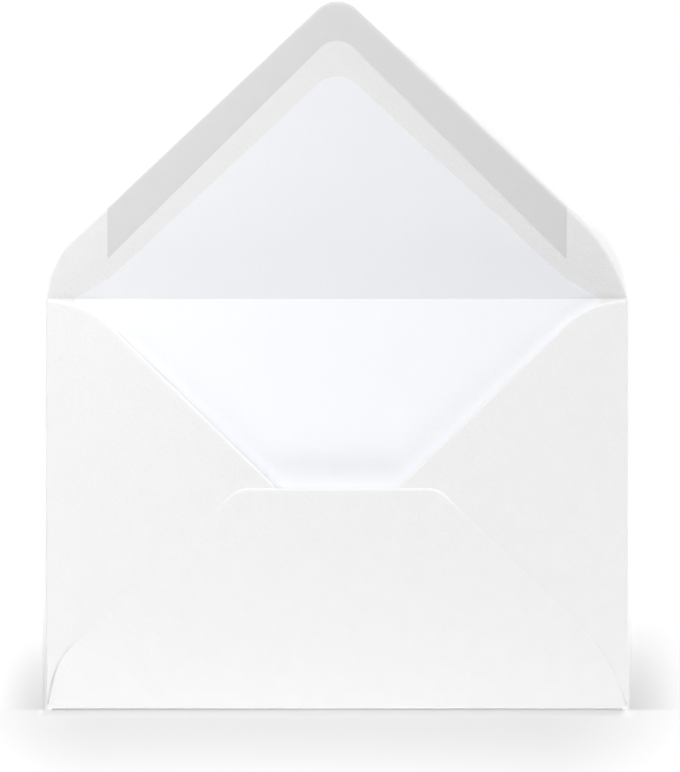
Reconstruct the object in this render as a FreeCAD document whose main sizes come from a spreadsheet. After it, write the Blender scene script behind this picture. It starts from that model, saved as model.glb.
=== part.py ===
import FreeCAD, Part
import os
import Sketcher
from FreeCAD import Placement, Rotation, Vector

# A C6 paper envelope, unsealed, lying on its front panel with the seal flap open.
# Frame: origin at the middle of the front panel's outer face, +X to the right,
# +Y toward the seal flap, +Z up, in millimetres.

doc = FreeCAD.newDocument("envelope")

# Sizes. Each row is an alias, its value in millimetres or degrees, and what it is.
SIZES = [
    ("body_width", 162, "closed envelope, side fold to side fold"),
    ("body_height", 114, "closed envelope, bottom fold to crease"),
    ("paper", 0.16, "thickness of the blank"),
    ("fold_radius", 0.3, "inside radius of the side folds"),
    ("crown", 6.5, "how far the back springs up from the front"),
    ("crown_low", 4.9, "its guide's height a third of the way up, which sets how soon it rises"),
    ("seal_angle", 12, "rise of the open seal flap, degrees"),
    ("seal_apex", 86.6, "where the seal flap's slanted edges would meet"),
    ("seal_tip_radius", 7.75, "rounded tip of the seal flap"),
    ("seal_base_inset", 0.1, "side fold to the seal flap's corner"),
    ("left_inset", 3.5, "seal flap, side to left shoulder corner"),
    ("left_rise", 12.7, "seal flap, crease to left shoulder corner"),
    ("left_radius", 17, "left shoulders"),
    ("right_inset", 5.5, "seal flap, side to right shoulder corner"),
    ("right_rise", 14.7, "seal flap, crease to right shoulder corner"),
    ("right_radius", 48, "right shoulders"),
    ("bottom_length", 61.3, "bottom fold to the bottom flap's top edge"),
    ("bottom_top_left", 27.5, "middle to the top edge's left corner"),
    ("bottom_top_right", 28.1, "middle to the top edge's right corner"),
    ("bottom_top_radius", 7, "top corners of the bottom flap"),
    ("bottom_left_inset", 3.35, "bottom flap, side to left shoulder corner"),
    ("bottom_left_rise", 13.4, "bottom flap, fold to left shoulder corner"),
    ("bottom_right_inset", 5.7, "bottom flap, side to right shoulder corner"),
    ("bottom_right_rise", 15.6, "bottom flap, fold to right shoulder corner"),
    ("side_notch", 1.4, "bottom fold to the side flaps' lower corner"),
    ("side_top_gap", 0.2, "crease to the side flaps' upper corner"),
    ("side_shoulder_inset", 12.3, "side to the side flaps' shoulder corner"),
    ("side_shoulder_drop", 2.1, "crease to the side flaps' shoulder corner"),
    ("side_shoulder_radius", 24, "shoulders of the side flaps"),
    ("side_reach", 68.8, "side to the side flaps' pointed corner"),
    ("side_tip_drop", 57, "crease to the side flaps' pointed corner"),
    ("side_tip_radius", 8, "rounded tips of the side flaps"),
    ("liner", 0.06, "thickness of the lining tissue"),
    ("liner_half_width", 73, "lining, middle to its side edges"),
    ("liner_bottom_gap", 8, "bottom fold to the lining's lower edge"),
    ("liner_apex", 65.5, "crease to where the lining's edges meet"),
    ("liner_tip_radius", 7.6, "rounded tip of the lining"),
    ("liner_flare_half_width", 62.8, "lining, middle to its flare corner"),
    ("liner_flare_rise", 6.1, "crease to the lining's flare corner"),
    ("liner_flare_radius", 15, "flare corners of the lining"),
    ("gum", 0.04, "thickness of the seal gum"),
    ("gum_half_width", 63.8, "middle to the ends of the gummed band"),
    ("gum_inner_apex", 75.45, "crease to where the band's inner edges meet"),
    ("gum_inner_radius", 6.5, "inner tip of the gummed band"),
    ("gum_end_rise", 11.4, "crease to the band's inner end corners"),
    ("seam", 0.06, "thickness of the seam gum"),
    ("seam_gap", 0.07, "seam gum to the sheet under it and over it"),
    ("seam_width", 10, "width of the seam gum"),
    ("seam_inset", 3, "bottom flap's slanted edge to the seam gum"),
    ("seam_low", 20, "bottom fold to the seam gum's lower end"),
    ("seam_high", 57, "bottom fold to the seam gum's upper end"),
]

sheet = doc.addObject("Spreadsheet::Sheet", "sizes")
for row, (alias, value, note) in enumerate(SIZES, 1):
    sheet.set(f"A{row}", note)
    sheet.set(f"B{row}", str(value))
    sheet.setAlias(f"B{row}", alias)
doc.recompute()

# Places that several pieces share, as expressions on the sheet.
HALF_WIDTH = "sizes.body_width / 2"
CREASE = "sizes.body_height / 2"
SIDE_OUTER = "(sizes.fold_radius + sizes.paper)"
FOLD_LINE = f"({HALF_WIDTH} - {SIDE_OUTER})"
SIDE_UNDER = "(sizes.paper + 2 * sizes.fold_radius)"
SEAM_LIFT = "(sizes.paper + sizes.seam_gap)"
BOTTOM_LIFT = f"({SEAM_LIFT} + sizes.seam + sizes.seam_gap)"
BOTTOM_INNER = f"(sizes.fold_radius + {BOTTOM_LIFT} / 2)"
BOTTOM_OUTER = f"({BOTTOM_INNER} + sizes.paper)"
BOTTOM_LINE = f"(-{CREASE} + {BOTTOM_OUTER})"
ABOVE_BACK = f"({SIDE_UNDER} + sizes.crown + {BOTTOM_LIFT} + 2 * sizes.paper)"


def number(expression):
    """The value of an expression on the sheet, as a plain number."""
    result = sheet.evalExpression(expression)
    return float(getattr(result, "Value", result))


def bind_place(piece, x="0", y="0", z="0"):
    """Tie a piece's place to the sheet."""
    for axis, expression in zip("xyz", (x, y, z)):
        piece.setExpression(f"Placement.Base.{axis}", expression)


def origin_plane(body, role):
    """One of a body's own base planes."""
    return [plane for plane in body.Origin.OriginFeatures if plane.Role == role][0]


def cut_sheet(name, corners, depth, lift="0", plane="XY_Plane"):
    """A polygon with tied corners, padded by a depth from a lift above its base plane."""
    body = doc.addObject("PartDesign::Body", name)
    sketch = body.newObject("Sketcher::SketchObject", name + "_outline")
    sketch.AttachmentSupport = [(origin_plane(body, plane), "")]
    sketch.MapMode = "FlatFace"
    sketch.setExpression("AttachmentOffset.Base.z", lift)
    points = [Vector(number(x), number(y), 0) for x, y in corners]
    for start, end in zip(points, points[1:] + points[:1]):
        sketch.addGeometry(Part.LineSegment(start, end), False)
    for side in range(len(points)):
        following = (side + 1) % len(points)
        sketch.addConstraint(Sketcher.Constraint("Coincident", side, 2, following, 1))
    for side, (x, y) in enumerate(corners):
        for axis, start, expression in (("X", points[side].x, x), ("Y", points[side].y, y)):
            place = Sketcher.Constraint("Distance" + axis, -1, 1, side, 1, start)
            index = sketch.addConstraint(place)
            sketch.setExpression(f"Constraints[{index}]", expression)
    pad = body.newObject("PartDesign::Pad", name + "_pad")
    pad.Profile = sketch
    pad.setExpression("Length", depth)
    doc.recompute()
    return body


def round_corners(body, corner, radius):
    """Round the upright edge that stands at one corner of a cut sheet."""
    x, y = (number(expression) for expression in corner)
    base = body.Tip
    names = []
    for count, edge in enumerate(base.Shape.Edges, 1):
        if all(abs(v.X - x) < 1e-5 and abs(v.Y - y) < 1e-5 for v in edge.Vertexes):
            names.append(f"Edge{count}")
    fillet = body.newObject("PartDesign::Fillet", f"{body.Name}_{radius}")
    fillet.Base = (base, names)
    fillet.setExpression("Radius", f"sizes.{radius}")
    doc.recompute()


def raise_with_flap(piece):
    """Hinge a flat piece about the outer line of the crease."""
    piece.Placement = Placement(Vector(), Rotation(Vector(1, 0, 0), 1))
    piece.setExpression("Placement.Rotation.Angle", "sizes.seal_angle")
    bind_place(piece, y=CREASE)


def half_ring(name, inner, length, place, outward, along):
    """A folded edge: half a thin tube, open toward the middle of the envelope."""
    turn = Rotation(outward.cross(along), outward, along, "ZXY")
    rings = []
    for part, radius in (("outside", f"{inner} + sizes.paper"), ("inside", inner)):
        ring = doc.addObject("Part::Cylinder", f"{name}_{part}")
        ring.Angle = 180
        ring.Placement = Placement(Vector(), turn)
        ring.setExpression("Radius", radius)
        ring.setExpression("Height", length)
        bind_place(ring, *place)
        rings.append(ring)
    fold = doc.addObject("Part::Cut", name)
    fold.Base, fold.Tool = rings
    return fold


def common(name, base, tool):
    """What two solids share."""
    shared = doc.addObject("Part::Common", name)
    shared.Base = base
    shared.Tool = tool
    return shared


# Crown of the back: one surface that all the back's layers follow. It stays straight
# and low along the side folds and the bottom fold. Across, it is a parabola. Upward, it
# rises from the bottom fold and levels out toward the throat.
def crown_surface():
    half, low, high = number(FOLD_LINE), number(BOTTOM_LINE), number(CREASE)
    under, top = number(SIDE_UNDER), number("sizes.crown")
    across, upward = [0, 2, 0], [0, number("sizes.crown_low"), top, top]
    surface = Part.BezierSurface()
    surface.increase(len(across) - 1, len(upward) - 1)
    for i, arch in enumerate(across):
        for j, rise in enumerate(upward):
            x = half * (2 * i / (len(across) - 1) - 1)
            y = low + (high - low) * j / (len(upward) - 1)
            surface.setPole(i + 1, j + 1, Vector(x, y, under + arch * rise))
    crown = doc.addObject("Part::Feature", "crown_surface")
    crown.Shape = surface.toShape()
    return crown


def back_layer(name, crown, thickness, lift):
    """A layer of the back, as thick as its sheet, over the whole crown."""
    layer = doc.addObject("Part::Extrusion", name)
    layer.Base = crown
    layer.DirMode = "Custom"
    layer.Dir = Vector(0, 0, 1)
    layer.Solid = True
    layer.setExpression("LengthFwd", thickness)
    bind_place(layer, z=lift)
    return layer


# Front panel: the flat face that the envelope lies on, between its fold lines.
def front_panel():
    panel = doc.addObject("Part::Box", "front_panel")
    panel.setExpression("Length", f"2 * {FOLD_LINE}")
    panel.setExpression("Width", f"{CREASE} - {BOTTOM_LINE}")
    panel.setExpression("Height", "sizes.paper")
    bind_place(panel, x=f"-{FOLD_LINE}", y=BOTTOM_LINE)
    return panel


# Seal flap: pointed, with a tight left shoulder, a wide right one and a rounded tip.
SEAL_CORNER = f"({HALF_WIDTH} - sizes.seal_base_inset)"
SEAL_LEFT = (f"-({HALF_WIDTH} - sizes.left_inset)", "sizes.left_rise")
SEAL_RIGHT = (f"{HALF_WIDTH} - sizes.right_inset", "sizes.right_rise")
SEAL_TIP = ("0", "sizes.seal_apex")


def seal_flap():
    corners = [(f"-{SEAL_CORNER}", "0"), (SEAL_CORNER, "0"), SEAL_RIGHT, SEAL_TIP, SEAL_LEFT]
    flap = cut_sheet("seal_flap", corners, "sizes.paper")
    round_corners(flap, SEAL_RIGHT, "right_radius")
    round_corners(flap, SEAL_LEFT, "left_radius")
    round_corners(flap, SEAL_TIP, "seal_tip_radius")
    raise_with_flap(flap)
    return flap


# Side flaps: from the side folds to rounded points, their lower halves under the bottom flap.
def side_flap(side, sign, layer):
    def corner(inset, y):
        return (f"{sign} * ({HALF_WIDTH} - {inset})", y)

    top = corner(SIDE_OUTER, f"{CREASE} - sizes.side_top_gap")
    shoulder = corner("sizes.side_shoulder_inset", f"{CREASE} - sizes.side_shoulder_drop")
    tip = corner("sizes.side_reach", f"{CREASE} - sizes.side_tip_drop")
    foot = corner(SIDE_OUTER, f"-{CREASE} + sizes.side_notch")
    outline = cut_sheet(f"side_outline_{side}", [top, shoulder, tip, foot], ABOVE_BACK)
    round_corners(outline, shoulder, "side_shoulder_radius")
    round_corners(outline, tip, "side_tip_radius")
    return common(f"side_flap_{side}", layer, outline)


def side_fold(side, outward):
    place = (f"{outward.x:.0f} * {FOLD_LINE}", f"-{CREASE} + sizes.side_notch",
             "sizes.paper + sizes.fold_radius")
    length = "sizes.body_height - sizes.side_notch - sizes.side_top_gap"
    return half_ring(f"side_fold_{side}", "sizes.fold_radius", length, place, outward, Vector(0, 1, 0))


# Bottom flap: folded up last, over both side flaps, with the same shoulders as the seal flap.
BOTTOM_LEFT = (f"-({HALF_WIDTH} - sizes.bottom_left_inset)", f"-{CREASE} + sizes.bottom_left_rise")
BOTTOM_RIGHT = (f"{HALF_WIDTH} - sizes.bottom_right_inset", f"-{CREASE} + sizes.bottom_right_rise")
TOP_LEFT = ("-sizes.bottom_top_left", f"-{CREASE} + sizes.bottom_length")
TOP_RIGHT = ("sizes.bottom_top_right", f"-{CREASE} + sizes.bottom_length")


def bottom_flap(layer):
    corners = [(f"-{FOLD_LINE}", BOTTOM_LINE), (FOLD_LINE, BOTTOM_LINE),
               BOTTOM_RIGHT, TOP_RIGHT, TOP_LEFT, BOTTOM_LEFT]
    outline = cut_sheet("bottom_outline", corners, ABOVE_BACK)
    round_corners(outline, BOTTOM_RIGHT, "right_radius")
    round_corners(outline, BOTTOM_LEFT, "left_radius")
    for corner in (TOP_RIGHT, TOP_LEFT):
        round_corners(outline, corner, "bottom_top_radius")
    return common("bottom_flap", layer, outline)


def bottom_fold():
    place = (f"-{FOLD_LINE}", BOTTOM_LINE, f"sizes.paper + {BOTTOM_INNER}")
    return half_ring("bottom_fold", BOTTOM_INNER, f"2 * {FOLD_LINE}", place,
                     Vector(0, -1, 0), Vector(1, 0, 0))


# Lining: a tissue on the inside of the front panel and of the seal flap, bent at the crease.
def liner():
    half = "sizes.liner_half_width"
    low = f"-{CREASE} + sizes.liner_bottom_gap"
    under, over = "sizes.paper", "(sizes.paper + sizes.liner)"

    def on_panel(height):
        return (f"{CREASE} - {height} * tan(sizes.seal_angle / 2 * 1 deg)", height)

    def on_flap(height):
        run, rise = "cos(sizes.seal_angle * 1 deg)", "sin(sizes.seal_angle * 1 deg)"
        return (f"{CREASE} + sizes.seal_apex * {run} - {height} * {rise}",
                f"sizes.seal_apex * {rise} + {height} * {run}")

    section = [(low, under), on_panel(under), on_flap(under),
               on_flap(over), on_panel(over), (low, over)]
    bent = cut_sheet("liner_section", section, f"2 * {half}", f"-{half}", "YZ_Plane")

    panel = doc.addObject("Part::Box", "liner_panel")
    panel.setExpression("Length", f"2 * {half}")
    panel.setExpression("Width", "sizes.body_height - sizes.liner_bottom_gap")
    panel.setExpression("Height", ABOVE_BACK)
    bind_place(panel, f"-{half}", low)

    flare = "sizes.liner_flare_half_width"
    flare_right = (flare, "sizes.liner_flare_rise")
    flare_left = (f"-{flare}", "sizes.liner_flare_rise")
    tip = ("0", "sizes.liner_apex")
    corners = [(f"-{half}", "0"), (half, "0"), flare_right, tip, flare_left]
    flap = cut_sheet("liner_flap", corners, ABOVE_BACK)
    for corner in (flare_right, flare_left):
        round_corners(flap, corner, "liner_flare_radius")
    round_corners(flap, tip, "liner_tip_radius")
    raise_with_flap(flap)

    outline = doc.addObject("Part::Fuse", "liner_outline")
    outline.Base = panel
    outline.Tool = flap
    return common("liner", bent, outline)


# Seal gum: a band along the seal flap's slanted edges, cut off square at both ends.
def seal_gum():
    def outer(corner_inset, corner_rise):
        run = f"({HALF_WIDTH} - sizes.{corner_inset})"
        fall = f"(sizes.seal_apex - sizes.{corner_rise})"
        return f"sizes.seal_apex - {fall} * sizes.gum_half_width / {run}"

    half = "sizes.gum_half_width"
    inner_tip = ("0", "sizes.gum_inner_apex")
    corners = [(f"-{half}", "sizes.gum_end_rise"), inner_tip, (half, "sizes.gum_end_rise"),
               (half, outer("right_inset", "right_rise")), SEAL_TIP,
               (f"-{half}", outer("left_inset", "left_rise"))]
    band = cut_sheet("seal_gum", corners, "sizes.gum", "sizes.paper")
    round_corners(band, SEAL_TIP, "seal_tip_radius")
    round_corners(band, inner_tip, "gum_inner_radius")
    raise_with_flap(band)
    return band


# Seam gum: two bands that hold the bottom flap down on the side flaps.
def seam_gum(side, sign, shoulder_inset, shoulder_rise, top_corner, layer):
    run = f"({HALF_WIDTH} - sizes.{shoulder_inset} - sizes.{top_corner})"
    rise = f"(sizes.bottom_length - sizes.{shoulder_rise})"

    def corner(level, inset):
        edge = f"sizes.{top_corner} + (sizes.bottom_length - {level}) * {run} / {rise}"
        return (f"{sign} * ({edge} - {inset})", f"-{CREASE} + {level}")

    near, far = "sizes.seam_inset", "(sizes.seam_inset + sizes.seam_width)"
    corners = [corner("sizes.seam_low", near), corner("sizes.seam_high", near),
               corner("sizes.seam_high", far), corner("sizes.seam_low", far)]
    outline = cut_sheet(f"seam_outline_{side}", corners, ABOVE_BACK)
    return common(f"seam_gum_{side}", layer, outline)


# Blank: one sheet of paper, cut, creased and folded.
crown = crown_surface()
side_layer = back_layer("side_layer", crown, "sizes.paper", "0")
seam_layer = back_layer("seam_layer", crown, "sizes.seam", SEAM_LIFT)
bottom_layer = back_layer("bottom_layer", crown, "sizes.paper", BOTTOM_LIFT)

LEFT, RIGHT = Vector(-1, 0, 0), Vector(1, 0, 0)
blank = doc.addObject("Part::MultiFuse", "envelope_blank")
blank.Shapes = [
    front_panel(),
    seal_flap(),
    side_flap("left", -1, side_layer),
    side_flap("right", 1, side_layer),
    side_fold("left", LEFT),
    side_fold("right", RIGHT),
    bottom_flap(bottom_layer),
    bottom_fold(),
]

pieces = [
    blank,
    liner(),
    seal_gum(),
    seam_gum("left", -1, "bottom_left_inset", "bottom_left_rise", "bottom_top_left", seam_layer),
    seam_gum("right", 1, "bottom_right_inset", "bottom_right_rise", "bottom_top_right", seam_layer),
]
doc.recompute()

# Nothing is written unless every object built and each piece is one sound solid.
for item in doc.Objects:
    if "Invalid" in item.State or "Error" in item.State:
        raise RuntimeError(f"{item.Name} did not build: {item.State}")
for piece in pieces:
    shape = piece.Shape
    if shape.isNull() or not shape.isValid() or len(shape.Solids) != 1:
        raise RuntimeError(f"{piece.Label} is not one sound solid")

os.makedirs("parts", exist_ok=True)
for piece in pieces:
    piece.Shape.exportStep(f"parts/{piece.Label}.step")
    print(f"{piece.Label}: {piece.Shape.Volume:.1f} cubic mm")
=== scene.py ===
# %% [markdown]
# # A lined paper envelope
#
# The envelope lies open on a pale floor, and the camera looks straight down on it. It is one
# sheet of paper, cut, creased and folded, with a thin lining and two kinds of gum. Everything
# is in metres in the end, but the sizes are written in millimetres, as a paper converter does.

# %% Load the frame
from math import cos, pi, radians, sin, tan

import bmesh
import bpy
import numpy as np
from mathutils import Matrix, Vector


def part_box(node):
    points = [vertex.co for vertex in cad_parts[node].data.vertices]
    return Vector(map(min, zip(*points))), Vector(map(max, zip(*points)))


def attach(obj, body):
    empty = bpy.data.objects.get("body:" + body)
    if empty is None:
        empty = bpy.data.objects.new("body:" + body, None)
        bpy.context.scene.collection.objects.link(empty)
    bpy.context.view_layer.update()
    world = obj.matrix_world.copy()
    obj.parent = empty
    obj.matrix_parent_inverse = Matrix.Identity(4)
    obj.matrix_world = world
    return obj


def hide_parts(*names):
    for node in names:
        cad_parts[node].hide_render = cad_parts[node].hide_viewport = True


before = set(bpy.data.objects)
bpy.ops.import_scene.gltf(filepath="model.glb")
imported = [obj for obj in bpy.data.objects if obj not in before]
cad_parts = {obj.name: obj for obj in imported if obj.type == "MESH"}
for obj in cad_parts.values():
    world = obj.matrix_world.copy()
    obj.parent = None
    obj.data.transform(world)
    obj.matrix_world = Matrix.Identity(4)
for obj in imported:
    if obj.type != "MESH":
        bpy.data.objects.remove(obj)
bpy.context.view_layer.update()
MM = 0.001
print("frame nodes:", sorted(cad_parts))

# %% [markdown]
# ## Sizes
#
# The outer width and the places of the bottom fold and of the crease are read from the frame.
# The other sizes describe the die that cuts the blank. Each one is a length on the sheet, so a
# printer could set up the cut from this list.

# %% Sizes in millimetres
blank_low, blank_high = (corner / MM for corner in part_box("envelope_blank"))
HALF_WIDTH = blank_high.x
BOTTOM = blank_low.y
CREASE = -BOTTOM
# Thicknesses of the paper, the lining and the seal gum
PAPER, LINING, GUM = 0.16, 0.06, 0.04
# Folds: inner radius, radius of the sheet's middle, and the line where the front panel ends
INNER_BEND = 0.3
SIDE_BEND = INNER_BEND + PAPER / 2
FOLD_LINE = HALF_WIDTH - SIDE_BEND - PAPER / 2
# The bottom flap lies this much above the side flaps' underside, so its fold is wider
BOTTOM_LIFT = 0.36
BOTTOM_BEND = INNER_BEND + BOTTOM_LIFT / 2 + PAPER / 2
BOTTOM_LINE = BOTTOM + BOTTOM_BEND + PAPER / 2
SEAL_ANGLE = radians(12)
print(f"closed size {2 * HALF_WIDTH:.1f} by {CREASE - BOTTOM:.1f} mm")

# %% [markdown]
# ## Outlines
#
# A cut sheet is straight lines and round corners. A short list of corners with a radius each
# holds all of it, and one function turns the list into a path. Taking the path apart at its
# furthest point gives a left and a right edge, and a sheet is then a grid of rows between them.

# %% Paths with round corners
ARC_STEPS = 48
TINY = 1e-9


def rounded(corners, radii, steps=ARC_STEPS):
    """An open path through the corners. Each inner corner gives way to the arc of its radius
    that touches both sides: its centre lies on the corner's bisector, at radius / sin(half)."""
    corners = np.array(corners, float)
    points = [corners[:1]]
    for before, corner, after, radius in zip(corners, corners[1:], corners[2:], radii):
        ahead, back = after - corner, before - corner
        ahead, back = ahead / np.hypot(*ahead), back / np.hypot(*back)
        half = np.arccos(ahead @ back) / 2
        centre = corner + (ahead + back) / np.hypot(*(ahead + back)) * radius / np.sin(half)
        reach = radius / np.tan(half)
        start, end = corner + back * reach - centre, corner + ahead * reach - centre
        turn = np.arccos(start @ end / radius**2)
        share = np.linspace(0, 1, steps)[:, None]
        arc = (np.sin((1 - share) * turn) * start + np.sin(share * turn) * end) / np.sin(turn)
        points.append(centre + arc)
    return np.vstack(points + [corners[-1:]])


def edges_of(path, along):
    """The two edges of a path that goes up and comes back: for each place along, the cross
    coordinate on the way up and on the way down."""
    top = int(np.argmax(path[:, 1]))
    up, down = path[: top + 1], path[top:][::-1]
    return np.interp(along, up[:, 1], up[:, 0]), np.interp(along, down[:, 1], down[:, 0])


def distance_to(path, points):
    """The distance from each point to the nearest place on a path: for each segment, the length
    of what is left of the way from its start once the part along it is taken off."""
    start, step = path[:-1], np.diff(path, axis=0)
    from_start = points[:, None, :] - start[None, :, :]
    share = (from_start * step).sum(2) / np.maximum((step**2).sum(1), TINY)
    foot = from_start - np.clip(share, 0, 1)[:, :, None] * step
    return np.sqrt((foot**2).sum(2)).min(1)


print(f"a round corner has {ARC_STEPS} points")

# %% Rows and columns
# Distances of the close columns from a cut edge, and of the close rows from a fold
NEAR = np.array([0, 0.05, 0.11, 0.18, 0.26, 0.35, 0.45, 0.56, 0.7, 1.0])
FOLD_ROWS = np.array([0.04, 0.12, 0.35, 0.8])
EVEN_COLUMNS = 56
# The close columns at one edge take at most this share of a short row
RIM_SHARE = 0.45
CROWDING = 1.7


def spread(low, high, near=NEAR):
    """Columns of each row: fixed distances from both ends, and even steps between. Where a row
    is too short for them, the fixed distances shrink with it."""
    low, high = np.atleast_1d(low)[:, None], np.atleast_1d(high)[:, None]
    scale = np.minimum(1, RIM_SHARE * np.abs(high - low) / near[-1])
    rim = near[None, :] * scale * np.sign(high - low + TINY)
    share = np.linspace(0, 1, EVEN_COLUMNS + 2)[None, 1:-1]
    inner_low, inner_high = low + rim[:, -1:], high - rim[:, -1:]
    inside = inner_low + (inner_high - inner_low) * share
    return np.hstack([low + rim, inside, high - rim[:, ::-1]])


def crowded(reach, count):
    """Rows from a fold at 0 to a tip at its reach: reach * (1 - (1 - t) ** crowding) for even
    steps of t, so that they crowd toward the tip, with the close rows of a fold after the first.
    The last row is one step short of the tip, where it still has a width."""
    rows = reach * (1 - (1 - np.linspace(0, 1, count)) ** CROWDING)
    return np.concatenate([rows[:1], FOLD_ROWS, rows[1:-1]])


print(f"{2 * len(NEAR) + EVEN_COLUMNS} columns across each sheet")

# %% [markdown]
# ## The shape of the folded sheet
#
# The back of an envelope springs up a little, because paper doesn't crease dead flat. One
# smooth height function holds this crown, and each layer of the back adds its own lift to it.
# The folds are half circles that the sheet's middle line follows. A cut edge also bends down
# by up to a fifth of a millimetre, because the die presses through the sheet from its outer
# face. That rounding is what catches the light along real cut paper.

# %% The crown and the cut edge
# Rise of the back at the throat, and of the curve's control point near the bottom fold
BACK_RISE, BACK_RISE_LOW = 6.5, 4.9
# Height of the side flaps' underside where their folds end
SIDE_UNDER = PAPER + 2 * INNER_BEND
LIP_WIDTH, LIP_DROP = 0.9, 0.19


def crown(x, y):
    """Height of the side flaps' underside. Across it is 1 - (x / fold line) squared, and upward
    a cubic curve that starts at the bottom fold and levels out at the crease."""
    v = np.clip((y - BOTTOM_LINE) / (CREASE - BOTTOM_LINE), 0, 1)
    rise = 3 * (1 - v) ** 2 * v * BACK_RISE_LOW + (3 * (1 - v) * v**2 + v**3) * BACK_RISE
    return SIDE_UNDER + (1 - np.clip(x / FOLD_LINE, -1, 1) ** 2) * rise


def lip(distance):
    """How far a cut edge bends down: a parabola over the lip's width."""
    return LIP_DROP * np.clip(1 - distance / LIP_WIDTH, 0, 1) ** 2


print(f"crown at the throat {crown(0, CREASE):.2f} mm")


# %% Folds
def around_fold(along, bend, outward):
    """A sheet's middle line around a fold. It follows a half circle of the bend's radius and
    then runs back level. The result is (place in the plan from the fold line, height)."""
    angle = np.clip(along / bend, 0, pi)
    beyond = np.clip(along - pi * bend, 0, None)
    return outward * (bend * np.sin(angle) - beyond), PAPER / 2 + bend * (1 - np.cos(angle))


def on_flap(along, height):
    """Places on the raised seal flap: (y, z) at a distance along it from the crease and at a
    height over its outer face. Below zero, the sheet lies flat. At zero, the two meet in a mitre
    of height * tan(half the angle)."""
    flap_y = CREASE + along * cos(SEAL_ANGLE) - height * sin(SEAL_ANGLE)
    flap_z = along * sin(SEAL_ANGLE) + height * cos(SEAL_ANGLE)
    mitre = -height * tan(SEAL_ANGLE / 2)
    flat = along < -TINY
    meeting = np.abs(along) <= TINY
    y = np.where(meeting, CREASE + mitre, np.where(flat, CREASE + along, flap_y))
    z = np.where(meeting | flat, height, flap_z)
    return y, z


print(f"the bottom fold is {2 * BOTTOM_BEND + PAPER:.2f} mm high")

# %% [markdown]
# ## From grids to sheets
#
# Every sheet starts as its middle surface: rows and columns of points. Grids that meet along a
# fold are welded there, so the blank stays one sheet, as it is in the real thing. Solidify then
# gives the thickness of the paper, and Bevel takes the hard corner off the cut edge.

# %% Mesh helpers
# Points closer than the first are merged, and edges shorter than the second collapse
MERGED, COLLAPSED = 0.002, 0.0005
BEVEL_STEPS, BEVEL_ABOVE = 2, radians(50)


def grid_faces(rows, columns, first=0):
    """Four-cornered faces of a grid whose points are numbered row by row."""
    index = np.arange(rows * columns).reshape(rows, columns) + first
    corners = (index[:-1, :-1], index[:-1, 1:], index[1:, 1:], index[1:, :-1])
    return np.stack([corner.ravel() for corner in corners], axis=1)


def sheet(name, grids, thickness, edge_bevel, upward):
    """One object from grids of (x, y, z) in millimetres. Doubles are merged, faces turned to the
    upward side, and the sheet gets its thickness equally to both sides."""
    points, faces, first = [], [], 0
    for grid in grids:
        rows, columns = grid.shape[:2]
        points.append(grid.reshape(-1, 3) * MM)
        faces.append(grid_faces(rows, columns, first))
        first += rows * columns
    mesh = bpy.data.meshes.new(name)
    mesh.from_pydata(np.vstack(points), [], np.vstack(faces).tolist())
    work = bmesh.new()
    work.from_mesh(mesh)
    bmesh.ops.remove_doubles(work, verts=work.verts, dist=MERGED * MM)
    bmesh.ops.dissolve_degenerate(work, edges=work.edges, dist=COLLAPSED * MM)
    bmesh.ops.recalc_face_normals(work, faces=work.faces)
    if sum(face.normal.dot(Vector(upward)) * face.calc_area() for face in work.faces) < 0:
        bmesh.ops.reverse_faces(work, faces=work.faces)
    work.to_mesh(mesh)
    work.free()
    piece = bpy.data.objects.new(name, mesh)
    bpy.context.scene.collection.objects.link(piece)
    wall = piece.modifiers.new("thickness", "SOLIDIFY")
    wall.thickness = thickness * MM
    wall.offset = 0
    wall.use_even_offset = True
    bevel = piece.modifiers.new("cut_edge", "BEVEL")
    bevel.width = edge_bevel * MM
    bevel.segments = BEVEL_STEPS
    bevel.limit_method = "ANGLE"
    bevel.angle_limit = BEVEL_ABOVE
    bevel.harden_normals = True
    mesh.shade_smooth()
    return piece


print(f"a grid of 3 by 4 points has {len(grid_faces(3, 4))} faces")

# %% [markdown]
# ## The blank
#
# The blank is the one sheet of paper: a front panel, two side flaps, a bottom flap and the
# pointed seal flap. Each flap is a grid whose rows run parallel to its fold, so that the rows
# can crowd together where the sheet turns, and the two ends of each row follow the cut edge.

# %% Front panel
# Where the side folds end, a little short of the bottom fold and of the crease
SIDE_LOW, SIDE_HIGH = BOTTOM + 1.4, CREASE - 0.2
panel_x = spread(-FOLD_LINE, FOLD_LINE)[0]
panel_y = np.concatenate([[BOTTOM_LINE], spread(SIDE_LOW, SIDE_HIGH)[0]])


def front_panel():
    """A flat grid between the two fold lines, the bottom fold line and the crease."""
    crease_y, _ = on_flap(np.zeros(1), PAPER / 2)
    y = np.concatenate([panel_y, crease_y])
    x, y = np.meshgrid(panel_x, y)
    return np.stack([x, y, np.full_like(x, PAPER / 2)], axis=2)


panel_grid = front_panel()
print("front panel, rows and columns:", panel_grid.shape[:2])

# %% [markdown]
# ### Side flaps
#
# The two side flaps are folded in first. They could be flat, but the back's crown lifts them,
# so each row's distance from the front panel goes around the fold and then up the crown. The
# two flaps are the same cut, mirrored.

# %% Side flaps
# Rows around a fold, as shares of its half circle
BEND_ROWS = np.linspace(0, 1, 15)
SHOULDER, TIP = (68.7, 54.9), (12.2, 0)
SHOULDER_ROUND, TIP_ROUND = 24, 8
SIDE_ROWS = 72


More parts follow.
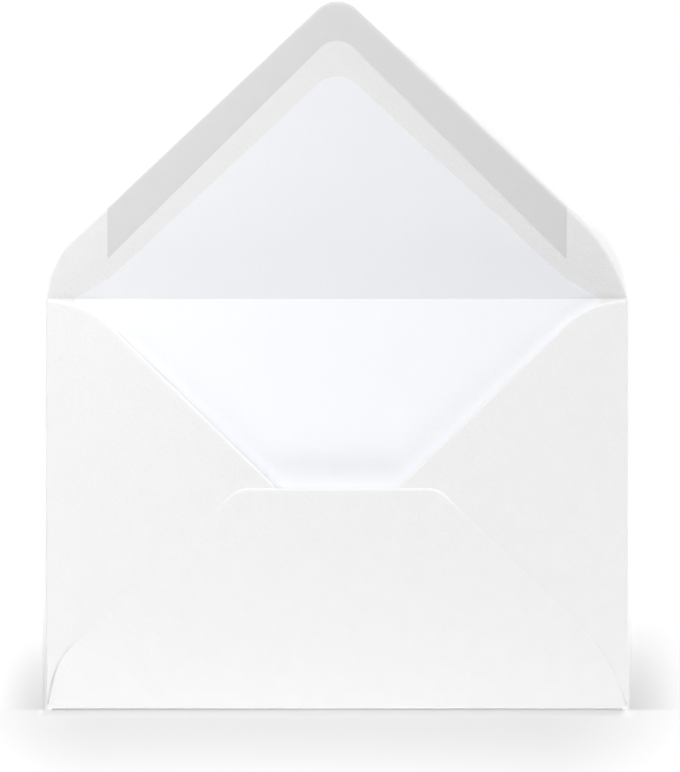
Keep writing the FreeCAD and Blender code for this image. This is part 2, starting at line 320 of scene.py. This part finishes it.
def side_flap(sign):
    """Rows run up the flap. The distance from the front panel goes around the side fold and then
    in toward the middle, and the cut edges are the two ends of each row."""
    path = rounded([(SIDE_HIGH, 0), (SHOULDER[1], FOLD_LINE - SHOULDER[0]),
                    (TIP[1], FOLD_LINE - TIP[0]), (SIDE_LOW, 0)], [SHOULDER_ROUND, TIP_ROUND])
    reach = path[:, 1].max()
    beyond = crowded(reach, SIDE_ROWS)[1:]
    inward = np.concatenate([np.zeros(len(BEND_ROWS)), beyond])
    along = np.concatenate([BEND_ROWS * pi * SIDE_BEND, pi * SIDE_BEND + beyond])
    high, low = edges_of(path, inward)
    low[: len(BEND_ROWS)], high[: len(BEND_ROWS)] = SIDE_LOW, SIDE_HIGH
    y = spread(low, high)
    out, fold_z = around_fold(along, SIDE_BEND, 1)
    x = np.broadcast_to((FOLD_LINE + out)[:, None], y.shape)
    flat_points = np.stack([y, FOLD_LINE - x], axis=2).reshape(-1, 2)
    cut = distance_to(path, flat_points).reshape(y.shape)
    folded = along[:, None] <= pi * SIDE_BEND
    z = np.where(folded, fold_z[:, None], crown(x, y) + PAPER / 2 - lip(cut))
    return np.stack([sign * x, y, z], axis=2)


side_grids = [side_flap(-1), side_flap(1)]
print("each side flap, rows and columns:", side_grids[0].shape[:2])

# %% [markdown]
# ### Bottom flap
#
# The bottom flap is folded up last and glued over both side flaps. Its outline has four round
# corners, and the left one of its two shoulders is cut tighter. That shoulder lies outside the
# gum and springs up a little, which draws a thin shadow on the side flap beside it.

# %% Bottom flap
# Heights of the corners are measured from the bottom fold, and the path starts at the fold line
FOLD_DEPTH = BOTTOM_LINE - BOTTOM
BOTTOM_TOP = 61.3 - FOLD_DEPTH
BOTTOM_CORNERS = [(-FOLD_LINE, 0), (-77.65, 13.4 - FOLD_DEPTH), (-27.5, BOTTOM_TOP),
                  (28.1, BOTTOM_TOP), (75.3, 15.6 - FOLD_DEPTH), (FOLD_LINE, 0)]
BOTTOM_ROUNDS = [17, 7, 7, 48]
# The height that the two top corners take, and the rows below and through them
CORNER_TALL, BODY_ROWS, CORNER_ROWS, CORNER_CROWDING = 7, 40, 22, 1.5
# The press leaves this share of the lip further from the top edge than the first distance, and
# all of it nearer than the second
PRESSED, PRESSED_TO, FREE_FROM = 0.3, 7, 2
# How far the left shoulder springs up, and how tall and wide the sprung part is
SPRING, SPRING_TALL, SPRING_WIDE = 0.6, 19, 24


def bottom_flap():
    """Rows run across the flap. It goes around the bottom fold and up the back over both side
    flaps, and ends in a straight top edge with two round corners. The press that closed the seams
    has flattened the lip of its slanted edges, and only the free top edge keeps it whole. The left
    shoulder is outside the gum and springs up by the square of 4 * u * (1 - u), which is 1 at
    half its height, times the share that is left to the spring's inner end."""
    path = rounded(BOTTOM_CORNERS, BOTTOM_ROUNDS)
    reach = path[:, 1].max()
    body = np.linspace(0, reach - NEAR[-1] - CORNER_TALL, BODY_ROWS)[1:-1]
    left_over = (1 - np.linspace(0, 1, CORNER_ROWS)) ** CORNER_CROWDING
    corner = reach - NEAR[-1] - CORNER_TALL * left_over
    beyond = np.concatenate([FOLD_ROWS, body, corner[:-1], reach - NEAR[::-1]])
    upward = np.concatenate([np.zeros(len(BEND_ROWS)), beyond])
    along = np.concatenate([BEND_ROWS * pi * BOTTOM_BEND, pi * BOTTOM_BEND + beyond])
    left, right = edges_of(path, upward)
    top = path[path[:, 1] > reach - TINY]
    left[-1], right[-1] = top[:, 0].min(), top[:, 0].max()
    x = spread(left, right)
    out, fold_z = around_fold(along, BOTTOM_BEND, -1)
    y = np.broadcast_to((BOTTOM_LINE + out)[:, None], x.shape)
    flat_points = np.stack([x, y - BOTTOM_LINE], axis=2).reshape(-1, 2)
    cut = distance_to(path, flat_points).reshape(x.shape)
    folded = along[:, None] <= pi * BOTTOM_BEND
    pressed = np.interp(y - BOTTOM_LINE, [reach - PRESSED_TO, reach - FREE_FROM], [PRESSED, 1.0])
    up = np.clip((y - BOTTOM_LINE) / SPRING_TALL, 0, 1)
    aside = np.clip(1 - (x - left[:, None]) / SPRING_WIDE, 0, 1)
    spring = SPRING * (4 * up * (1 - up) * aside) ** 2
    z = crown(x, y) + BOTTOM_LIFT + PAPER / 2 + spring - lip(cut) * pressed
    z = np.where(folded, fold_z[:, None], z)
    return np.stack([x, y, z], axis=2)


bottom_grid = bottom_flap()
print("bottom flap, rows and columns:", bottom_grid.shape[:2])

# %% [markdown]
# ### Seal flap
#
# The seal flap is the pointed one that stays open. It was creased once and has come back up by
# about twelve degrees. It is plane, so one function puts the paper, the lining and the gum on
# it at their own heights. Then all the grids become the one sheet.

# %% Seal flap
SEAL_BASE, SEAL_APEX = HALF_WIDTH - 0.1, 86.6
SEAL_CORNERS = [(-SEAL_BASE, 0), (-77.5, 12.7), (0, SEAL_APEX), (75.5, 14.7), (SEAL_BASE, 0)]
SEAL_ROUNDS = [17, 7.75, 48]
SEAL_PATH = rounded(SEAL_CORNERS, SEAL_ROUNDS)
# The flap is wider than the front panel, and four columns reach from its edge to the fold line
SEAL_OUTER = SEAL_BASE - FOLD_LINE
SEAL_NEAR = np.concatenate([np.linspace(0, SEAL_OUTER, 4), SEAL_OUTER + NEAR[1:]])
SEAL_ROWS = 84


def flap_surface(x, along, height, outline):
    """Points on the raised flap at a height over its outer face, bent down at the cut edge. The
    lip grows over the first millimetre, so that the flap stays above the floor at its base."""
    cut = distance_to(outline, np.stack([x, along], axis=2).reshape(-1, 2)).reshape(x.shape)
    y, z = on_flap(along, height - lip(cut) * np.clip(along, 0, 1))
    return np.stack([x, y, z], axis=2)


def seal_flap():
    """Rows run across the flap and crowd toward its rounded tip."""
    reach = SEAL_PATH[:, 1].max()
    along = crowded(reach, SEAL_ROWS)
    left, right = edges_of(SEAL_PATH, along)
    x = spread(left, right, SEAL_NEAR)
    return flap_surface(x, np.broadcast_to(along[:, None], x.shape), PAPER / 2, SEAL_PATH)


seal_grid = seal_flap()
print("seal flap, rows and columns:", seal_grid.shape[:2])

# %% The whole blank
PAPER_BEVEL = 0.03
grids = [panel_grid, *side_grids, bottom_grid, seal_grid]
blank = sheet("blank_sheet", grids, PAPER, PAPER_BEVEL, (0, 0, -1))
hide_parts("envelope_blank")
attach(blank, "root")
print(f"blank: {len(blank.data.polygons)} faces before its thickness")

# %% [markdown]
# ## The lining
#
# The lining is a tissue that is glued in before the envelope is folded. It covers the front
# panel from a little above the bottom fold, bends with the crease and ends in a point on the
# seal flap, where a strip of bare paper is left all round it.

# %% Lining
LINING_HALF, LINING_LOW, LINING_APEX = 73, BOTTOM + 8, 65.5
LINING_CORNERS = [(-LINING_HALF, 0), (-62.8, 6.1), (0, LINING_APEX), (62.8, 6.1), (LINING_HALF, 0)]
LINING_ROUNDS = [15, 7.6, 15]
LINING_PATH = rounded(LINING_CORNERS, LINING_ROUNDS)
LINING_PANEL_ROWS, LINING_FLAP_ROWS = 40, 80
THIN_BEVEL = 0.01


def lining():
    """Rows run across. Below the crease they are straight and equally long, and above it they
    follow the lining's flared and pointed outline."""
    reach = LINING_PATH[:, 1].max()
    panel = np.linspace(LINING_LOW - CREASE, 0, LINING_PANEL_ROWS)[:-1]
    along = np.concatenate([panel, -FOLD_ROWS[::-1], crowded(reach, LINING_FLAP_ROWS)])
    left, right = edges_of(LINING_PATH, np.clip(along, 0, None))
    x = spread(left, right)
    y, z = on_flap(along, PAPER + LINING / 2)
    rows = np.stack([y, z], axis=1)[:, None, :]
    return np.dstack([x, np.broadcast_to(rows, (*x.shape, 2))])


liner = sheet("lining_tissue", [lining()], LINING, THIN_BEVEL, (0, 0, 1))
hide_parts("liner")
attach(liner, "root")
print(f"lining: {len(liner.data.polygons)} faces before its thickness")

# %% [markdown]
# ## The gum
#
# The seal gum is a film that is rolled on along the slanted edges of the seal flap and dries
# hard. It is a band between two curves, so its grid is ruled from the inner one to the outer
# one. It follows the flap's cut edge down, because it was there before the die cut the sheet.

# %% Seal gum
GUM_HALF, GUM_END, GUM_TOP, GUM_ROUND = 63.8, 11.4, 75.45, 6.5
GUM_ARC_STEPS, GUM_COLUMNS, GUM_ROWS = 97, 90, 12
# From this share of the band's width on, the rows lie closer, for the bend of the cut edge
GUM_RIM = 0.93


def even_points(path, count):
    """Points spaced evenly along a path, half of them on each side of its highest point: the
    length gone is added up point by point, and the places are read at even steps of it."""
    top = int(np.argmax(path[:, 1]))
    parts = []
    for part in (path[: top + 1], path[top:]):
        gone = np.concatenate([[0], np.cumsum(np.hypot(*np.diff(part, axis=0).T))])
        steps = np.linspace(0, gone[-1], count)
        parts.append(np.stack([np.interp(steps, gone, part[:, axis]) for axis in (0, 1)], axis=1))
    return np.vstack([parts[0], parts[1][1:]])


def edge_point(path, side, half):
    """The point of an outline at a distance from the middle on one side: its points are put in
    order of that distance, and the place along the flap is read between them."""
    part = path[path[:, 0] * side > 0]
    part = part[np.argsort(part[:, 0] * side)]
    return side * half, np.interp(half, part[:, 0] * side, part[:, 1])


def seal_gum():
    """Ruled rows from the band's inner curve to the flap's cut edge: each point is inner +
    (outer - inner) * share."""
    inner = rounded([(-GUM_HALF, GUM_END), (0, GUM_TOP), (GUM_HALF, GUM_END)], [GUM_ROUND],
                    GUM_ARC_STEPS)
    on_edge = SEAL_PATH[np.abs(SEAL_PATH[:, 0]) < GUM_HALF]
    left_end, right_end = (edge_point(SEAL_PATH, side, GUM_HALF) for side in (-1, 1))
    outer = np.vstack([[left_end], on_edge, [right_end]])
    inner, outer = even_points(inner, GUM_COLUMNS), even_points(outer, GUM_COLUMNS)
    wide_rows, close_rows = np.linspace(0, GUM_RIM, GUM_ROWS), np.linspace(GUM_RIM, 1, GUM_ROWS)
    share = np.concatenate([wide_rows[:-1], close_rows])
    place = inner[None] + (outer - inner)[None] * share[:, None, None]
    return flap_surface(place[:, :, 0], place[:, :, 1], PAPER + GUM / 2, SEAL_PATH)


gum = sheet("seal_gum_film", [seal_gum()], GUM, THIN_BEVEL, (0, 0, 1))
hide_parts("seal_gum")
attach(gum, "root")
print(f"gum: {len(gum.data.polygons)} faces before its thickness")

# %% [markdown]
# ## Materials
#
# White things are hard because almost nothing is left to tell them apart. What does it here is
# a small step in colour, a cool tint of the tissue, the duller grey of the gum, and a texture
# that is at most a tenth of a millimetre high. Each scale below comes from a size in millimetres.


# %% Material helpers
def linear(code):
    """An sRGB hex colour as the linear values that the shader wants: a straight line for the
    darkest part, and ((value + 0.055) / 1.055) ** 2.4 above it."""
    parts = np.array([int(code[at:at + 2], 16) for at in (0, 2, 4)]) / 255
    parts = np.where(parts <= 0.04045, parts / 12.92, ((parts + 0.055) / 1.055) ** 2.4)
    return (*parts.tolist(), 1.0)


def add(tree, kind, properties=None, values=None, links=None):
    """Add a node, set its properties and the values of its inputs, and link its inputs."""
    node = tree.nodes.new(kind)
    for name, value in (properties or {}).items():
        setattr(node, name, value)
    for name, value in (values or {}).items():
        node.inputs[name].default_value = value
    for name, socket in (links or {}).items():
        tree.links.new(socket, node.inputs[name])
    return node


def per_mm(size):
    """The noise scale at which one blotch is as wide as a size in millimetres."""
    return 1 / (size * MM)


print("white in linear values:", linear("ffffff"))

# %% A sheet's material
# A colour Mix has several sockets of one name, so they are called by their places
COLOUR_MIX = {"data_type": "RGBA"}
MIX_SHARE, MIX_FIRST, MIX_SECOND, MIX_RESULT = 0, 6, 7, 2
CLOUD_DETAIL, GRAIN_DETAIL, GRAIN_ROUGHNESS = 3.0, 4.0, 0.6
SHEET_IOR = 1.45


def textured(name, colour, shade, cloud_mm, grain_mm, grain_height_mm, roughness):
    """A matte sheet: a base colour with faint clouds of a second one, and a fine grain."""
    material = bpy.data.materials.new(name)
    material.use_nodes = True
    tree = material.node_tree
    shader = tree.nodes["Principled BSDF"]
    place = add(tree, "ShaderNodeTexCoord").outputs["Object"]
    clouds = add(tree, "ShaderNodeTexNoise",
                 values={"Scale": per_mm(cloud_mm), "Detail": CLOUD_DETAIL},
                 links={"Vector": place})
    colours = add(tree, "ShaderNodeMix", COLOUR_MIX,
                  {MIX_FIRST: linear(colour), MIX_SECOND: linear(shade)},
                  {MIX_SHARE: clouds.outputs["Fac"]})
    grain = add(tree, "ShaderNodeTexNoise",
                values={"Scale": per_mm(grain_mm), "Detail": GRAIN_DETAIL, "Roughness": GRAIN_ROUGHNESS},
                links={"Vector": place})
    bump = add(tree, "ShaderNodeBump", values={"Distance": grain_height_mm * MM, "Strength": 1.0},
               links={"Height": grain.outputs["Fac"]})
    tree.links.new(colours.outputs[MIX_RESULT], shader.inputs["Base Color"])
    tree.links.new(bump.outputs["Normal"], shader.inputs["Normal"])
    shader.inputs["Roughness"].default_value = roughness
    shader.inputs["IOR"].default_value = SHEET_IOR
    return material


print(f"blotches of 5 mm need a noise scale of {per_mm(5):.0f}")

# %% [markdown]
# ### Paper, tissue and gum
#
# Wove paper with a vellum finish has soft pebbles about a millimetre apart, and clouds a few
# millimetres wide where the pulp settled. The tissue is calendered, so its grain is finer and
# lower, and optical brightener makes it bluish. Dextrin gum dries to a harder, greyer film.

# %% The four materials
# Wove paper, vellum finish: the felt's pebbles make it dead matte, with a soft mottle
paper = textured("wove_paper_vellum", "f4f4f4", "f0f0f0", cloud_mm=5,
                 grain_mm=1.1, grain_height_mm=0.09, roughness=0.85)
# Tissue, pressed between steel rollers: smoother and cooler than the paper
tissue = textured("lining_tissue_calendered", "f9fafe", "f6f7fb", cloud_mm=7,
                  grain_mm=0.9, grain_height_mm=0.045, roughness=0.7)
# Dextrin, rolled on wet and dried: a greyer film with a faint gloss
dried_gum = textured("dextrin_gum_dried", "e0e0e0", "dcdcdc", cloud_mm=4,
                     grain_mm=1.0, grain_height_mm=0.03, roughness=0.42)
# Seam gum, pressed flat between two layers: yellowish and almost smooth
seam = textured("seam_gum_dried", "eae8df", "e4e2d8", cloud_mm=3,
                grain_mm=0.8, grain_height_mm=0.004, roughness=0.5)

blank.data.materials.append(paper)
liner.data.materials.append(tissue)
gum.data.materials.append(dried_gum)
for node in ("seam_gum_left", "seam_gum_right"):
    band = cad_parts[node]
    band.data.materials.clear()
    band.data.materials.append(seam)
print("materials:", [material.name for material in (paper, tissue, dried_gum, seam)])

# %% [markdown]
# ## Floor
#
# The floor is a matte white sheet with a painted shadow pool near the envelope. It lies a hundredth
# of a millimetre under the envelope, so that the two faces don't fight over the same place.

# %% Floor
FLOOR_HALF, FLOOR_DROP = 3000, 0.01
floor_mesh = bpy.data.meshes.new("floor")
floor_corners = np.array([(-1, -1), (1, -1), (1, 1), (-1, 1)]) * FLOOR_HALF
floor_points = [(x * MM, y * MM, -FLOOR_DROP * MM) for x, y in floor_corners]
floor_mesh.from_pydata(floor_points, [], [(0, 1, 2, 3)])
floor = bpy.data.objects.new("floor", floor_mesh)
bpy.context.scene.collection.objects.link(floor)
print(f"floor {2 * FLOOR_HALF} mm square")

# %% [markdown]
# ### The floor's painted shadow
#
# In front of the bottom fold and beside the two lower corners the photograph has a soft grey
# pool, as under a sheet that stands up. No lamp gives that here, so it is a painted shadow in
# the floor's own colour, and the real shadow of the folds lies on top. The painted pool could be
# an image, but a chain of soft steps follows the envelope's own sizes: each step goes from one
# share of the grey to another between two places, and either share may be an earlier step's result.

# %% Painted shadow on the floor
WHITE, PAINTED_SHADOW_GREY = "ffffff", "b4b4b4"
SMOOTH = {"interpolation_type": "SMOOTHSTEP"}
# The painted shadow pool in front is centred this far left of the middle
POOL_LEFT = 5
# Shares of the painted shadow's grey: in front, beside the corners, a painted contact shadow where
# the bottom fold touches the floor, and right in front of it, where the real shadow does most
share = {"front": 0.53, "side": 0.72, "contact_shadow": 1.0, "thin": 0.23, "none": 0.0}

# The floor's material: white, with the painted shadow pool mixed into its colour below
white = bpy.data.materials.new("matte_white_floor_painted_shadow")
white.use_nodes = True
tree = white.node_tree
place = add(tree, "ShaderNodeTexCoord").outputs["Object"]
split = add(tree, "ShaderNodeSeparateXYZ", links={"Vector": place})
across, upward = split.outputs["X"], split.outputs["Y"]
aside = add(tree, "ShaderNodeMath", {"operation": "ABSOLUTE"}, links={0: across}).outputs[0]
shifted = add(tree, "ShaderNodeMath", {"operation": "ADD"}, {1: POOL_LEFT * MM}, {0: across})
off_middle = add(tree, "ShaderNodeMath", {"operation": "ABSOLUTE"}, links={0: shifted.outputs[0]})
# Each row: name, coordinate, start and end in millimetres, share before and share after
painted_shadow_steps = (
    ("front_wide", off_middle.outputs[0], 60, 125, "front", "none"),
    ("front_pool", upward, BOTTOM - 45, BOTTOM, "none", "front_wide"),
    ("side_tall", upward, BOTTOM - 3, BOTTOM + 35, "side", "none"),
    ("side_wide", aside, 78, 105, "side_tall", "none"),
    ("side_edge", aside, 80, 82.2, "none", "side_wide"),
    ("under_fold", upward, BOTTOM + 1, BOTTOM + 3, "contact_shadow", "none"),
    ("side_pool", aside, 79, 80, "under_fold", "side_edge"),
    ("shade", aside, 81.5, 84, "thin", "front_wide"),
    ("shaded", upward, BOTTOM - 3.3, BOTTOM - 1, "front_pool", "shade"),
    ("pool", upward, BOTTOM - 0.9, BOTTOM, "shaded", "side_pool"))
for name, coordinate, start, end, first, last in painted_shadow_steps:
    ends = {"To Min": share[first], "To Max": share[last]}
    values = {key: value for key, value in ends.items() if isinstance(value, float)}
    links = {key: value for key, value in ends.items() if key not in values}
    values.update({"From Min": start * MM, "From Max": end * MM})
    links["Value"] = coordinate
    share[name] = add(tree, "ShaderNodeMapRange", SMOOTH, values, links).outputs["Result"]
# The floor's colour: white, darkened to the painted shadow grey by the last step's share
painted_shadow_colour = add(tree, "ShaderNodeMix", COLOUR_MIX,
           {MIX_FIRST: linear(WHITE), MIX_SECOND: linear(PAINTED_SHADOW_GREY)}, {MIX_SHARE: share["pool"]})
print(f"the floor's grey is made in {len(painted_shadow_steps)} soft steps")

# %% [markdown]
# ### Plain white far away
#
# A studio sweep has no horizon. Far from the envelope the floor glows for the camera alone, so
# it ends in plain white and throws no light on the paper. Close by, a tenth of that glow is
# left, which lightens the shadows to what the photograph has.

# %% Glow of the floor
# Distances from the middle in millimetres, and the glow before the first and after the second
GLOW_FROM, GLOW_TO = 190, 340
GLOW_NEAR, GLOW_FAR = 0.1, 1.0
FLOOR_ROUGHNESS = 0.9

camera_ray = add(tree, "ShaderNodeLightPath").outputs["Is Camera Ray"]
far = add(tree, "ShaderNodeVectorMath", {"operation": "LENGTH"}, links={0: place})
glow = add(tree, "ShaderNodeMapRange", SMOOTH,
           {"From Min": GLOW_FROM * MM, "From Max": GLOW_TO * MM,
            "To Min": GLOW_NEAR, "To Max": GLOW_FAR}, {"Value": far.outputs["Value"]})
seen_glow = add(tree, "ShaderNodeMath", {"operation": "MULTIPLY"},
                links={0: glow.outputs["Result"], 1: camera_ray})
shader = tree.nodes["Principled BSDF"]
tree.links.new(seen_glow.outputs[0], shader.inputs["Emission Strength"])
tree.links.new(painted_shadow_colour.outputs[MIX_RESULT], shader.inputs["Base Color"])
tree.links.new(painted_shadow_colour.outputs[MIX_RESULT], shader.inputs["Emission Color"])
shader.inputs["Roughness"].default_value = FLOOR_ROUGHNESS
shader.inputs["Specular IOR Level"].default_value = 0.0
floor_mesh.materials.append(white)
print(f"plain white for the camera from {GLOW_TO} mm out")

# %% [markdown]
# ## Light
#
# Two key lamps stand beyond the crease, so that the flaps hide most of their own shadows, as in
# flat product photography. The near one shines along the left edge of the throat, which
# leaves no dark line beside it. The far one is lower in the sky: it skims the cut edges and
# draws the thin shadow beside the sprung shoulder. The lamp overhead gives the level. Two fills
# in front lift the raised flap, a narrow strip close to the floor lights the bottom fold, and
# one strip at each side lights the side folds.


# %% Lamps
def softbox(name, place, aim, width, depth, level):
    """A rectangular lamp. Its level is the brightness that it alone gives a white surface that
    faces it at its aim: power = level * pi * pi * distance squared."""
    lamp = bpy.data.lights.new(name, "AREA")
    lamp.shape = "RECTANGLE"
    lamp.size, lamp.size_y = width * MM, depth * MM
    offset = (Vector(aim) - Vector(place)) * MM
    lamp.energy = level * pi**2 * offset.length_squared
    body = bpy.data.objects.new(name, lamp)
    body.location = Vector(place) * MM
    body.rotation_euler = offset.to_track_quat("-Z", "Y").to_euler()
    bpy.context.scene.collection.objects.link(body)


# Aims at the floor's height: under the upper half of the back, and at the bottom fold
BACK_AIM, FOLD_AIM = (0, 20, 0), (0, BOTTOM, 0)
# Each row: name, place, aim, width, depth, level
softbox("near_softbox", (-292, 255, 290), (-40, 20, 0), 180, 180, 0.438)
softbox("far_softbox", (979, 1586, 800), BACK_AIM, 500, 400, 0.717)
softbox("overhead_softbox", (0, 60, 1700), BACK_AIM, 400, 400, 0.295)
softbox("front_fill", (0, -260, 130), FOLD_AIM, 300, 80, 0.29)
softbox("high_front_fill", (0, -260, 200), FOLD_AIM, 300, 80, 0.2)
softbox("fold_strip", (0, -150, 7), FOLD_AIM, 300, 12, 1.1)
softbox("left_strip", (-350, 0, 15), (-HALF_WIDTH, 0, 0), 200, 20, 0.12)
softbox("right_strip", (350, 0, 15), (HALF_WIDTH, 0, 0), 200, 20, 0.09)
print("lamps:", sorted(lamp.name for lamp in bpy.data.lights))

# %% [markdown]
# ### Surroundings
#
# A room gives a faint light from all round, which keeps the deepest folds from going black. The
# same surroundings are plain white where the camera, a gloss or something clear shows them.

# %% Surroundings
AMBIENT = 0.046
world = bpy.data.worlds.new("studio")
bpy.context.scene.world = world
world.use_nodes = True
sky = world.node_tree
sky.nodes.clear()
ray = add(sky, "ShaderNodeLightPath")
seen = add(sky, "ShaderNodeMath", {"operation": "MAXIMUM"},
           links={0: ray.outputs["Is Camera Ray"], 1: ray.outputs["Is Glossy Ray"]})
seen = add(sky, "ShaderNodeMath", {"operation": "MAXIMUM"},
           links={0: seen.outputs[0], 1: ray.outputs["Is Transmission Ray"]})
soft = add(sky, "ShaderNodeBackground", values={"Color": linear(WHITE), "Strength": AMBIENT})
plain = add(sky, "ShaderNodeBackground", values={"Color": linear(WHITE), "Strength": 1.0})
blend = add(sky, "ShaderNodeMixShader",
            links={0: seen.outputs[0], 1: soft.outputs[0], 2: plain.outputs[0]})
add(sky, "ShaderNodeOutputWorld", links={"Surface": blend.outputs[0]})
print(f"surroundings at {AMBIENT} of white")

# %% [markdown]
# ## Camera
#
# The photograph shows the back squarely, with no visible perspective. A long lens straight
# above gives that. The width of the closed envelope in the picture sets the distance.

# %% Camera
PICTURE_HEIGHT = 772
MM_PER_PIXEL = 0.27845
LENS, SENSOR = 300, 36
MIDDLE_X, MIDDLE_Y = 0.79, 32.74
# In metres
CLIP_END = 100

camera = bpy.data.objects.new("camera", bpy.data.cameras.new("camera"))
camera.data.lens, camera.data.sensor_width = LENS, SENSOR
distance = PICTURE_HEIGHT * MM_PER_PIXEL * LENS / SENSOR
camera.location = Vector((MIDDLE_X, MIDDLE_Y, distance)) * MM
camera.data.clip_end = CLIP_END
bpy.context.scene.collection.objects.link(camera)
bpy.context.scene.camera = camera
bpy.context.scene.view_settings.view_transform = "Standard"
print(f"camera {distance:.0f} mm above the envelope")
